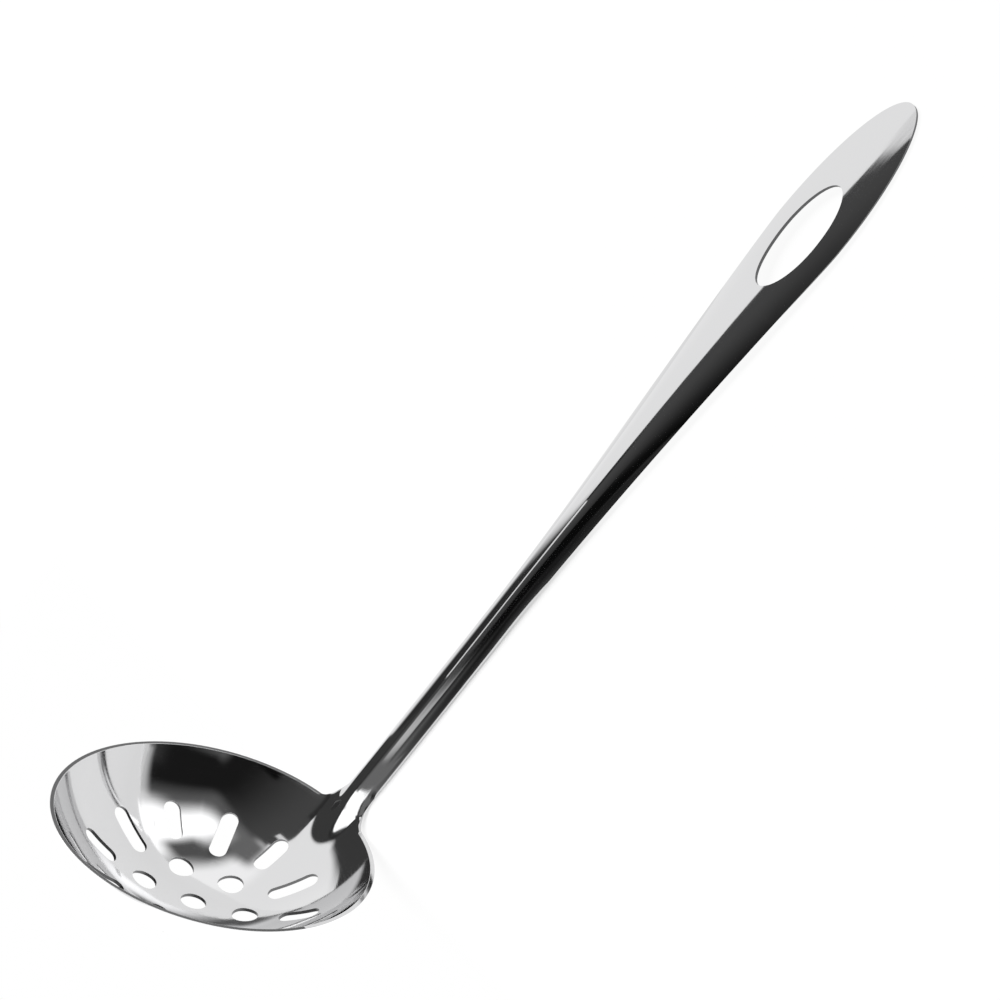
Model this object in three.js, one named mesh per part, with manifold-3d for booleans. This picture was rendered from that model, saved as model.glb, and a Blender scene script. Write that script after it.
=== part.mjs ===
// Perforated sauce ladle in polished sheet steel. A drawn bowl, pierced with round holes and radial slots,
// is butt-welded at its neck to a pressed channel handle with a long hanging eye.
// Millimetres, +Z up. The ladle lies on the back of its handle: X runs along the handle towards its tip,
// Y across it, and the bowl opens towards +X and up. The origin is the middle of its footprint.
import * as THREE from 'three';
import { mergeVertices } from 'three/addons/utils/BufferGeometryUtils.js';
import Module from 'manifold-3d';

const wasm = await Module();
wasm.setup();

const degrees = Math.PI / 180;
const mergeDistance = 1e-4;

// Sheet
const sheet = 1.0;

// Bowl: a dished floor that runs into a rounder wall, trimmed flat at the rim
const rimRadius = 44;
const floorRadius = 10.6;
const dishRadius = 80;
const rimSlope = 59 * degrees;
const bowlSides = 64;
const dishRows = 2;
const wallRows = 8;

// Perforation: a centre hole, a ring of holes, and radial slots with a short one outside each hole
const holeDiameter = 7.0;
const holeRing = 14.2;
const holeCount = 6;
const slotWidth = 4.8;
const slotOuter = 32.65;
const shortSlotInner = 22.95;
const longSlotInner = 20.35;
const slotCount = 12;
const patternTurn = 11.1 * degrees;
const punchReach = 8;
const holeSides = 16;
const slotEndSides = 5;

// Neck: the handle's rib dies out on the bowl's wall, and its edges flare into the rim
const noseLength = 16;
const neckLength = 10;
const neckFlare = 4.6;
const ribFlare = 1.0;
const neckRows = 8;
const noseRows = 10;
const neckColumns = 20;
const flareCrowding = 1.5;
const ribSink = 0.04;
const mouldDepth = 3;
const slopeStep = 0.05;

// Weld between bowl and handle, dressed flush outside with its root left inside
const weldWidth = 0.8;
const weldRoot = 0.5;

// Handle: a channel section that flattens and widens into a leaf-shaped grip, flatter still towards its tip
const shankHalfWidth = 4.9;
const shankRise = 3.42;
const shankEnd = 68;
const shankEase = 35;
const taperLength = 130.5;
const taperEase = 9.5;
const tipLength = 43.8;
const gripHalfWidth = 12.3;
const gripRise = 2.5;
const tipFlattening = 0.6;
const bowStart = 30;
const bowHeight = 1.2;
const sectionSides = 12;
const shankRows = 5;
const gripRows = 16;
const tipRows = 10;
const tipEndAngle = 87.5 * degrees;

// Hanging eye
const eyeLength = 33.9;
const eyeWidth = 13.0;
const eyeSetback = 2.2;
const eyeSides = 32;

// Worked out from the driving dimensions
const outerDish = dishRadius + sheet;
const kneeSine = floorRadius / outerDish;
const kneeAngle = Math.asin(kneeSine);
const outerWall = (rimRadius - floorRadius) / (Math.sin(rimSlope) - kneeSine);
const floorRise = outerDish * (1 - Math.cos(kneeAngle));
const outerDepth = floorRise + outerWall * (Math.cos(kneeAngle) - Math.cos(rimSlope));
const rimCrossRadius = rimRadius / Math.sin(rimSlope);
const handleStart = neckLength + weldWidth;
const widestAt = shankEnd + taperLength;
const handleLength = widestAt + tipLength;
const gripRadius = (gripHalfWidth ** 2 + gripRise ** 2) / (2 * gripRise);

function smoothStep(t) {
  const u = Math.min(Math.max(t, 0), 1);
  return u * u * (3 - 2 * u);
}

function mix(a, b, t) {
  return a + (b - a) * t;
}

// Solids

function toSolid(geometry) {
  const bare = geometry.index ? geometry.toNonIndexed() : geometry.clone();
  for (const name of Object.keys(bare.attributes)) {
    if (name !== 'position') bare.deleteAttribute(name);
  }
  const merged = mergeVertices(bare, mergeDistance);
  const index = merged.index.array;
  const triangles = [];
  for (let i = 0; i < index.length; i += 3) {
    const [a, b, c] = [index[i], index[i + 1], index[i + 2]];
    if (a !== b && b !== c && c !== a) triangles.push(a, b, c);
  }
  const mesh = new wasm.Mesh({
    numProp: 3,
    vertProperties: new Float32Array(merged.attributes.position.array),
    triVerts: new Uint32Array(triangles),
  });
  mesh.merge();
  return new wasm.Manifold(mesh);
}

function toGeometry(solid) {
  const mesh = solid.getMesh();
  const geometry = new THREE.BufferGeometry();
  geometry.setAttribute('position', new THREE.BufferAttribute(new Float32Array(mesh.vertProperties), 3));
  geometry.setIndex(new THREE.BufferAttribute(new Uint32Array(mesh.triVerts), 1));
  geometry.computeVertexNormals();
  return geometry;
}

// Joins closed sections, each a ring of as many points, into one capped body whose faces point out.
function loft(sections) {
  const count = sections[0].length;
  const positions = sections.flat().flatMap((p) => [p.x, p.y, p.z]);
  const index = [];
  for (let row = 0; row + 1 < sections.length; row += 1) {
    for (let i = 0; i < count; i += 1) {
      const next = (i + 1) % count;
      const [a, b] = [row * count + i, row * count + next];
      const [c, d] = [a + count, b + count];
      index.push(a, b, c, b, d, c);
    }
  }
  const last = (sections.length - 1) * count;
  const half = count / 2;
  for (let i = 0; i + 1 < half; i += 1) {
    const [p, q] = [i, i + 1];
    const [r, s] = [count - 1 - i, count - 2 - i];
    index.push(p, r, q, q, r, s);
    index.push(last + p, last + q, last + r, last + q, last + s, last + r);
  }
  const geometry = new THREE.BufferGeometry();
  geometry.setAttribute('position', new THREE.Float32BufferAttribute(positions, 3));
  geometry.setIndex(index);
  return geometry;
}

// Bowl

// Slope of a bowl surface at one radius. With no offset it is the under side, and one sheet up the inside.
function surfaceSlope(radius, offset) {
  const knee = (outerDish - offset) * kneeSine;
  const sine = radius <= knee
    ? radius / (outerDish - offset)
    : kneeSine + (radius - knee) / (outerWall - offset);
  return Math.asin(Math.min(sine, 1));
}

function surfacePoint(slope, offset) {
  const dish = outerDish - offset;
  const wall = outerWall - offset;
  const inDish = slope <= kneeAngle;
  const radius = inDish ? dish * Math.sin(slope) : dish * kneeSine + wall * (Math.sin(slope) - kneeSine);
  const rise = inDish
    ? dish * (1 - Math.cos(slope))
    : dish * (1 - Math.cos(kneeAngle)) + wall * (Math.cos(kneeAngle) - Math.cos(slope));
  return new THREE.Vector2(radius, rise + offset - outerDepth);
}

// Slope at which a surface meets the rim's plane.
function slopeAtRim(offset) {
  const kneeRise = (outerDish - offset) * (1 - Math.cos(kneeAngle)) + offset;
  return Math.acos(Math.cos(kneeAngle) - (outerDepth - kneeRise) / (outerWall - offset));
}

function surfaceProfile(offset) {
  const start = surfaceSlope(holeDiameter / 2, offset);
  const end = slopeAtRim(offset);
  const points = [];
  for (let i = 0; i < dishRows; i += 1) {
    points.push(surfacePoint(mix(start, kneeAngle, i / dishRows), offset));
  }
  for (let i = 0; i <= wallRows; i += 1) {
    points.push(surfacePoint(mix(kneeAngle, end, i / wallRows), offset));
  }
  return points;
}

// The bowl stands on its own axis first, and is then tipped so that its wall runs on into the handle.
function tipBowl(geometry) {
  geometry.rotateY(rimSlope);
  geometry.translate(-rimRadius * Math.cos(rimSlope), 0, rimRadius * Math.sin(rimSlope));
  return geometry;
}

function bowlShell() {
  const profile = [...surfaceProfile(0), ...surfaceProfile(sheet).reverse()];
  profile.push(profile[0].clone());
  const shell = new THREE.LatheGeometry(profile, bowlSides);
  shell.rotateX(Math.PI / 2);
  return toSolid(tipBowl(shell));
}

// A punch stands on the inside surface, square to it, at one radius and angle.
function setPunch(geometry, radius, angle) {
  const slope = surfaceSlope(radius, sheet);
  const place = surfacePoint(slope, sheet);
  geometry.rotateY(-slope);
  geometry.translate(place.x, 0, place.y);
  geometry.rotateZ(angle);
  return toSolid(tipBowl(geometry));
}

function holePunch(radius, angle) {
  const punch = new THREE.CylinderGeometry(holeDiameter / 2, holeDiameter / 2, punchReach, holeSides);
  punch.rotateX(Math.PI / 2);
  return setPunch(punch, radius, angle);
}

function slotPunch(inner, angle) {
  const from = surfacePoint(surfaceSlope(inner, sheet), sheet);
  const to = surfacePoint(surfaceSlope(slotOuter, sheet), sheet);
  const straight = from.distanceTo(to) - slotWidth;
  const outline = new THREE.Shape();
  outline.absarc(straight / 2, 0, slotWidth / 2, -Math.PI / 2, Math.PI / 2);
  outline.absarc(-straight / 2, 0, slotWidth / 2, Math.PI / 2, 1.5 * Math.PI);
  const punch = new THREE.ExtrudeGeometry(outline, {
    depth: punchReach,
    bevelEnabled: false,
    curveSegments: slotEndSides,
  });
  punch.translate(0, 0, -punchReach / 2);
  return setPunch(punch, (from.x + to.x) / 2, angle);
}

// Neck

// Half-width of the sheet past the rim: a concave flare from the rim to the shank.
function neckHalfWidth(along) {
  const u = 1 - Math.min(Math.max(along / neckLength, 0), 1);
  return shankHalfWidth + neckFlare * (1 - Math.sqrt(1 - u * u));
}

// Under side of the bare wall or flange, which keeps the bowl's curve across until the flare ends.
function wallBase(along, across) {
  const flat = smoothStep(along / neckLength);
  return (1 - flat) * across * across / (2 * rimCrossRadius);
}

// Arc of the channel, seen along the handle, less an offset into the sheet.
function channelArc(halfWidth, rise, across, offset) {
  const radius = (halfWidth ** 2 + rise ** 2) / (2 * rise);
  const reach = Math.min(Math.abs(across), radius - offset);
  return Math.sqrt((radius - offset) ** 2 - reach * reach) + rise - radius;
}

// Half-width of the rib itself, which spreads less than the sheet's edges.
function ribHalfWidth(along) {
  return shankHalfWidth + ribFlare * (1 - smoothStep(along / neckLength));
}

// Top of the neck: a soft rib on the wall, which becomes the channel's arch as it reaches the shank.
// Its foot lies just under the wall's surface, so that the rib rises out of it along a clean line.
function ribTop(along, across) {
  const u = Math.min(Math.abs(across) / ribHalfWidth(along), 1);
  const grown = smoothStep((along + noseLength) / (noseLength + neckLength));
  const foot = sheet - ribSink;
  const soft = foot + wallBase(along, across) + (shankRise - foot) * grown * (1 - u * u) ** 2;
  const v = Math.min(Math.abs(across) / neckHalfWidth(along), 1);
  const arch = channelArc(shankHalfWidth, shankRise, v * shankHalfWidth, 0);
  return mix(soft, arch, smoothStep(along / neckLength));
}

// Under side of the rib, one sheet below its top.
function ribUnder(along, across) {
  const rise = ribTop(along, across + slopeStep) - ribTop(along, across - slopeStep);
  const slope = rise / (2 * slopeStep);
  const soft = ribTop(along, across) - sheet * Math.hypot(1, slope);
  const v = Math.min(Math.abs(across) / neckHalfWidth(along), 1);
  const arch = channelArc(shankHalfWidth, shankRise, v * shankHalfWidth, sheet);
  return mix(soft, arch, smoothStep(along / neckLength));
}

// A point at a distance along the wall's middle line from the rim, across it, and above its under side.
// Across the neck, equal distances follow the rim's own circle until the flare ends.
function wallPoint(along, across, height) {
  const round = 1 - smoothStep(along / neckLength);
  const at = along - round * across * across * Math.cos(rimSlope) / (2 * rimRadius);
  if (at >= 0) return new THREE.Vector3(at, across, height);
  const turn = -at / outerWall;
  return new THREE.Vector3(
    (height - outerWall) * Math.sin(turn),
    across,
    outerWall + (height - outerWall) * Math.cos(turn),
  );
}

// One closed section: the upper line from side to side, then the lower line back.
function neckSection(along, reach, upper, lower) {
  const section = [];
  for (let i = 0; i <= neckColumns; i += 1) {
    const across = reach * (1 - 2 * i / neckColumns);
    section.push(wallPoint(along, across, upper(across)));
  }
  for (let i = neckColumns; i >= 0; i -= 1) {
    const across = reach * (1 - 2 * i / neckColumns);
    section.push(wallPoint(along, across, lower(across)));
  }
  return section;
}

function neckStations(from, to) {
  const stations = [];
  for (let i = 0; i < noseRows; i += 1) {
    stations.push(mix(from, 0, i / noseRows));
  }
  for (let i = 0; i <= neckRows; i += 1) {
    stations.push(to * (i / neckRows) ** flareCrowding);
  }
  return stations;
}

function ribSolid() {
  const sections = neckStations(-noseLength, neckLength).map((along) => {
    const sunk = along < 0 ? sheet / 2 : 0;
    return neckSection(
      along,
      neckHalfWidth(along),
      (across) => ribTop(along, across),
      (across) => wallBase(along, across) + sunk,
    );
  });
  return toSolid(loft(sections));
}

function ribHollow() {
  const sections = neckStations(-noseLength, neckLength + weldWidth).map((along) => {
    const at = Math.min(along, neckLength);
    return neckSection(
      along,
      neckHalfWidth(at),
      (across) => Math.max(ribUnder(at, across), wallBase(at, across) - mouldDepth / 2),
      (across) => wallBase(at, across) - mouldDepth,
    );
  });
  return toSolid(loft(sections));
}

function bowlGeometry() {
  let bowl = bowlShell().add(ribSolid()).subtract(ribHollow());
  for (let i = 0; i < holeCount; i += 1) {
    const angle = patternTurn + i * 2 * Math.PI / holeCount;
    bowl = bowl.subtract(holePunch(holeRing, angle));
  }
  for (let i = 0; i < slotCount; i += 1) {
    const angle = patternTurn + i * 2 * Math.PI / slotCount;
    const beyondHole = (i * holeCount) % slotCount === 0;
    bowl = bowl.subtract(slotPunch(beyondHole ? shortSlotInner : longSlotInner, angle));
  }
  return toGeometry(bowl);
}

// Handle

// Closed section of the channel: the outer arc, then the inner arc back. A dressed edge is ground level,
// and an undressed one is cut square to the sheet. Either way the lowest edge stands on the section's seat.
function channelSection(at, halfWidth, rise, dressed, seat, thickness = sheet) {
  const radius = (halfWidth ** 2 + rise ** 2) / (2 * rise);
  const edge = 2 * Math.atan(rise / halfWidth);
  const inner = radius - thickness;
  const level = Math.acos(Math.min(radius * Math.cos(edge) / inner, 1));
  const innerEdge = mix(edge, level, dressed);
  const centre = seat - inner * Math.cos(innerEdge);
  const section = [];
  for (let i = 0; i <= sectionSides; i += 1) {
    const turn = edge * (1 - 2 * i / sectionSides);
    section.push(new THREE.Vector3(at, radius * Math.sin(turn), centre + radius * Math.cos(turn)));
  }
  for (let i = sectionSides; i >= 0; i -= 1) {
    const turn = innerEdge * (1 - 2 * i / sectionSides);
    section.push(new THREE.Vector3(at, inner * Math.sin(turn), centre + inner * Math.cos(turn)));
  }
  return section;
}

// The handle bows up a little between its straight lower end and its tip.
function bow(at) {
  const u = Math.max((at - bowStart) / (handleLength - bowStart), 0);
  return bowHeight * Math.sin(Math.PI * u) ** 2;
}

function handleSections() {
  const outline = new THREE.CubicBezierCurve(
    new THREE.Vector2(shankEnd, shankHalfWidth),
    new THREE.Vector2(shankEnd + shankEase, shankHalfWidth),
    new THREE.Vector2(widestAt - taperEase, gripHalfWidth),
    new THREE.Vector2(widestAt, gripHalfWidth),
  );
  const sections = [channelSection(handleStart, shankHalfWidth, shankRise, 1, 0)];
  for (let i = 0; i < shankRows; i += 1) {
    const at = mix(bowStart, shankEnd, i / shankRows);
    sections.push(channelSection(at, shankHalfWidth, shankRise, 1, bow(at)));
  }
  for (let i = 0; i < gripRows; i += 1) {
    const point = outline.getPoint(i / gripRows);
    const grown = smoothStep((point.x - shankEnd) / taperLength);
    const rise = mix(shankRise, gripRise, grown);
    sections.push(channelSection(point.x, point.y, rise, 1 - grown, bow(point.x)));
  }
  for (let i = 0; i <= tipRows; i += 1) {
    const turn = tipEndAngle * i / tipRows;
    const at = widestAt + tipLength * Math.sin(turn);
    const halfWidth = gripHalfWidth * Math.cos(turn);
    const radius = gripRadius * (1 + tipFlattening * Math.sin(turn));
    const rise = radius - Math.sqrt(radius ** 2 - halfWidth ** 2);
    sections.push(channelSection(at, halfWidth, rise, 0, bow(at)));
  }
  return sections;
}

function handleGeometry() {
  const outline = new THREE.Shape().absellipse(0, 0, eyeLength / 2, eyeWidth / 2, 0, 2 * Math.PI);
  const punch = new THREE.ExtrudeGeometry(outline, {
    depth: 2 * punchReach,
    bevelEnabled: false,
    curveSegments: eyeSides,
  });
  punch.translate(widestAt - eyeSetback, 0, -punchReach);
  return toGeometry(toSolid(loft(handleSections())).subtract(toSolid(punch)));
}

// Weld: flush with the channel outside, and thicker by its root inside.
function weldGeometry() {
  const thickness = sheet + weldRoot;
  const sections = [neckLength, handleStart].map(
    (at) => channelSection(at, shankHalfWidth, shankRise, 1, 0, thickness),
  );
  return toGeometry(toSolid(loft(sections)));
}

const polishedSteel = { color: 0xc4c5c7, metalness: 1.0, roughness: 0.12 };
const dressedWeld = { color: 0xb4b5b7, metalness: 1.0, roughness: 0.28 };

function piece(name, geometry, finish) {
  const mesh = new THREE.Mesh(geometry, new THREE.MeshStandardMaterial(finish));
  mesh.name = name;
  return mesh;
}

const ladle = new THREE.Group();
ladle.add(piece('bowl', bowlGeometry(), polishedSteel));
ladle.add(piece('neck_weld', weldGeometry(), dressedWeld));
ladle.add(piece('handle', handleGeometry(), polishedSteel));

const reach = new THREE.Box3().setFromObject(ladle);
const middle = reach.getCenter(new THREE.Vector3());
ladle.position.set(-middle.x, -middle.y, -reach.min.z);

export default ladle;
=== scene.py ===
import math

import bmesh
import bpy
from bpy.props import FloatProperty, FloatVectorProperty, IntProperty, PointerProperty
from mathutils import Matrix, Quaternion, Vector


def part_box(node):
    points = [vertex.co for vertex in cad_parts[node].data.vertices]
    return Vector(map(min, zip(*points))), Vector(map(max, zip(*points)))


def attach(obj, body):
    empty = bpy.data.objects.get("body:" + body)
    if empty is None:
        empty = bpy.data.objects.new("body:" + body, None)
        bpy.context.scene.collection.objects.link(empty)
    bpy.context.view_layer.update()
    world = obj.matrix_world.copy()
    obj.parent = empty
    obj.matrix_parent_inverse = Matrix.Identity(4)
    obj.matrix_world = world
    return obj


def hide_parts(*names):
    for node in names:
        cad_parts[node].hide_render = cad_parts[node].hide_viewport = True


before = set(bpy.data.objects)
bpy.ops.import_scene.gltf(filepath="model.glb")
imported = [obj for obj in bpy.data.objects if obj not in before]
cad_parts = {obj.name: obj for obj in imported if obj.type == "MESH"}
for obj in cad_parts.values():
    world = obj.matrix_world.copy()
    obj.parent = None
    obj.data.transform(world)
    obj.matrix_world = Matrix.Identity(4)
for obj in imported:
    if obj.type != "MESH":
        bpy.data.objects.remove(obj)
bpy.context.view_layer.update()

bl_info = {
    "name": "Perforated sauce ladle",
    "version": (1, 0, 0),
    "blender": (4, 5, 0),
    "location": "3D View > Sidebar > Ladle",
    "description": "A drawn and pierced steel bowl welded to a pressed handle, with its studio",
    "category": "Object",
}

# Length of the neck past the rim, and the rim's place along the handle
NECK_LENGTH = 0.010
RIM_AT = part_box("neck_weld")[0].x - NECK_LENGTH

# Corners this near each other are one, and corners this near a seam are on it
TOUCH = 1e-7
SEAM = 1e-4

# A face is level where its normal's height is more than this, and an edge is sharp from this angle on
LEVEL = 0.5
SHARP = 1.0

# Radii at which the cells of sheet round the middle hole, the other holes and the slots end
CELL_RINGS = (0.0073, 0.0190, 0.0345)

# Intervals on the sides of a hole's cell and of a slot's cell
HOLE_INNER = 12
HOLE_SIDE = 10
SLOT_END = 12
SLOT_SIDE = 16

# Rows of the bowl's wall past the slots and of the neck's tab, whose rows crowd at the rim
WALL_ROWS = 8
TAB_ROWS = 12
TAB_CROWDING = 1.5

# Intervals from the middle of the neck's tab to its edge
TAB_PARTS = 8

# Sheet kept round the hanging eye in its cell, the cell's intervals, and those across the handle
EYE_MARGIN = 0.006
EYE_SIDE = 36
HANDLE_COLUMNS = 16

# Rows of the handle below and above the eye, and the angle of its rounded tip at which the last row lies
SHANK_ROWS = 64
TIP_ROWS = 20
TIP_END = math.radians(88.5)

# Shares of the way from a hole's outline to the border of its cell
MIDDLE_STEPS = (0.1, 0.4, 1.0)
HOLE_STEPS = (0.08, 0.22, 0.42, 0.68, 1.0)
EYE_STEPS = (0.08, 0.25, 0.55, 1.0)

# Grain of the polishing marks from its valleys to its tops, and the share of the roughness there
GRAIN = (0.3, 0.7)
GRAIN_ROUGHNESS = (0.6, 1.4)


def length(name, description, default):
    return FloatProperty(name=name, description=description, default=default,
                         min=0.0, unit="LENGTH", subtype="DISTANCE", precision=5)


def angle(name, description, degrees):
    return FloatProperty(name=name, description=description, default=math.radians(degrees),
                         unit="ROTATION", subtype="ANGLE")


def factor(name, description, default):
    return FloatProperty(name=name, description=description, default=default,
                         min=0.0, max=1.0, subtype="FACTOR")


def colour(name, description, default):
    return FloatVectorProperty(name=name, description=description, default=default,
                               min=0.0, max=1.0, size=3, subtype="COLOR")


def amount(name, description, default):
    return FloatProperty(name=name, description=description, default=default, min=0.0)


def vector(name, description, default, subtype="TRANSLATION"):
    return FloatVectorProperty(name=name, description=description, default=default,
                               size=3, subtype=subtype)


class LadleSheet(bpy.types.PropertyGroup):
    """The steel sheet, its broken edges and the weld."""
    thickness: length("Thickness", "Thickness of the steel sheet", 0.001)
    rim_round: length("Rim round", "How far the edges of the rim are rounded", 0.00030)
    edge_round: length("Edge round", "How far the handle's edges are broken", 0.0002)
    hole_round: length("Hole round", "How far the edges of the holes are broken", 0.00012)
    weld_width: length("Weld width", "Width of the weld between bowl and handle", 0.0008)
    weld_root: length("Weld root", "How far the weld stands proud inside the channel", 0.0005)


class LadleBowl(bpy.types.PropertyGroup):
    """The drawn bowl."""
    rim_radius: length("Rim radius", "Outer radius of the rim", 0.044)
    floor_radius: length("Floor radius", "Radius at which the dished floor meets the wall", 0.0106)
    dish_radius: length("Dish radius", "Inner radius of curvature of the floor", 0.080)
    rim_slope: angle("Rim slope", "Slope of the wall where it is trimmed at the rim", 59.0)
    trim_ease: length("Trim ease", "Width over which the outside is drawn to the trimmed rim", 0.003)


class LadlePerforation(bpy.types.PropertyGroup):
    """The punched holes and slots."""
    hole_diameter: length("Hole diameter", "Diameter of the round holes", 0.007)
    hole_ring: length("Hole ring", "Radius of the ring of round holes", 0.0142)
    hole_count: IntProperty(name="Holes", description="Number of holes in the ring", default=6, min=1)
    slot_width: length("Slot width", "Width of a slot", 0.0048)
    slot_outer: length("Slot outer end", "Radius of the slots' outer ends", 0.03265)
    short_inner: length("Short slot inner end", "Radius of a short slot's inner end", 0.02295)
    long_inner: length("Long slot inner end", "Radius of a long slot's inner end", 0.02035)
    slot_count: IntProperty(name="Slots", description="Number of slots", default=12, min=2)
    turn: angle("Turn", "Turn of the pattern from the handle's plane", 11.1)


class LadleNeck(bpy.types.PropertyGroup):
    """The neck, where the handle's rib runs into the bowl."""
    length: length("Length", "Length of the neck past the rim", NECK_LENGTH)
    nose_length: length("Nose length", "How far the rib runs down the bowl's wall", 0.016)
    flare: length("Flare", "How far each edge flares out to the rim", 0.0046)
    rib_flare: length("Rib flare", "How far the rib spreads on each side towards the bowl", 0.0010)


class LadleHandle(bpy.types.PropertyGroup):
    """The pressed channel handle and its hanging eye."""
    half_width: length("Shank half-width", "Half the width of the shank", 0.0049)
    rise: length("Shank rise", "Height of the shank's channel", 0.00342)
    shank_end: length("Shank end", "Distance from the rim to where the handle starts to widen", 0.068)
    shank_ease: length("Shank ease", "How slowly the widening starts", 0.035)
    taper_length: length("Taper length", "Length over which the handle widens", 0.1305)
    taper_ease: length("Taper ease", "How soon the widening stops at the grip", 0.0095)
    tip_length: length("Tip length", "Length of the rounded tip past the widest place", 0.0438)
    grip_half_width: length("Grip half-width", "Half the greatest width of the grip", 0.0123)
    grip_rise: length("Grip rise", "Height of the grip's channel", 0.0025)
    tip_flattening: factor("Tip flattening", "How much flatter the section gets towards the tip", 0.6)
    bow_start: length("Bow start", "Where the handle starts to bow up", 0.030)
    bow_height: length("Bow height", "How far the handle bows up", 0.0012)
    eye_length: length("Eye length", "Length of the hanging eye", 0.0339)
    eye_width: length("Eye width", "Width of the hanging eye", 0.0130)
    eye_setback: length("Eye setback", "How far the eye's middle lies below the widest place", 0.0022)


class LadleFinish(bpy.types.PropertyGroup):
    """Colour and polish of the steel."""
    steel: colour("Steel", "Reflected colour of the polished steel", (0.66, 0.66, 0.665))
    weld: colour("Weld", "Reflected colour of the dressed weld", (0.65, 0.65, 0.655))
    # Painted shade: the cut edges really are rougher, but their colour is darkened far below steel's to stand
    # in for shade.
    cut: colour("Cut edge", "Reflected colour of the cut edges", (0.13, 0.13, 0.132))
    marks_along: amount("Marks along", "Polishing marks to the metre, lengthwise", 40.0)
    marks_across: amount("Marks across", "Polishing marks to the metre, crosswise", 2500.0)
    marks_depth: FloatProperty(name="Marks depth", description="Depth of the polishing marks", default=1.5e-6,
                               min=0.0, precision=7, unit="LENGTH", subtype="DISTANCE")
    steel_roughness: factor("Steel roughness", "Roughness of the polished steel", 0.06)
    weld_roughness: factor("Weld roughness", "Roughness of the dressed weld", 0.09)
    cut_roughness: factor("Cut roughness", "Roughness of the cut edges", 0.4)


class LadleStage(bpy.types.PropertyGroup):
    """Camera, floor and light."""
    azimuth: angle("Azimuth", "Camera's direction round the ladle", 5.734)
    elevation: angle("Elevation", "Camera's height above the floor", 50.561)
    roll: angle("Roll", "How far the camera leans to its right", 55.656)
    distance: length("Distance", "Distance of the camera from its aim", 1.49055)
    lens: FloatProperty(name="Lens", description="Focal length", default=199.22, unit="CAMERA")
    aim: vector("Aim", "Point in the middle of the picture", (-0.00505, 0.02353, 0.003))
    floor: colour("Floor", "Colour of the floor", (0.9, 0.9, 0.9))
    floor_reach: length("Floor reach", "How far the floor runs to each side", 3.0)
    floor_glow: amount("Floor glow", "White added to the floor in view", 0.2)
    light: amount("Light", "Strength of the soft light all round", 0.2)
    key: amount("Key", "Strength of the soft light from behind", 3.1)
    key_spread: angle("Key spread", "How wide the light from behind is", 35.0)
    key_way: vector("Key direction", "Which way the light from behind shines", (0.1, -0.9, -1.0), "DIRECTION")
    tent_low: vector("Tent low corner", "Lowest corner of the light tent", (-0.70, -0.60, 0.0))
    tent_high: vector("Tent high corner", "Highest corner of the light tent", (0.35, 0.33, 0.60))
    tent_dark: amount("Tent dark", "Brightness of the tent's dark cloth", 0.0127)


def mix(a, b, f):
    return a + (b - a) * f


def smooth_step(f):
    f = min(max(f, 0.0), 1.0)
    return f * f * (3.0 - 2.0 * f)


def arc_radius(half_width, rise):
    """Radius of an arc with this half-width and height."""
    return (half_width ** 2 + rise ** 2) / (2 * rise)


class Channel:
    """Cross-section of the pressed channel, at a share of its width from -1 to 1.

    A dressed edge is ground level, an undressed one is square to the sheet, and the lowest edge stands
    on the seat."""

    def __init__(self, half_width, rise, dressed, seat, thickness):
        self.radius = arc_radius(half_width, rise)
        self.edge = 2 * math.atan(rise / half_width)
        self.inner = self.radius - thickness
        level = math.acos(min(self.radius * math.cos(self.edge) / self.inner, 1.0))
        self.inner_edge = mix(self.edge, level, dressed)
        self.centre = seat - self.inner * math.cos(self.inner_edge)

    def point(self, share, under):
        """Distance across and height of a point."""
        radius, edge = (self.inner, self.inner_edge) if under else (self.radius, self.edge)
        return radius * math.sin(share * edge), self.centre + radius * math.cos(share * edge)

    def share(self, across):
        return math.asin(across / self.radius) / self.edge


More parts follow.
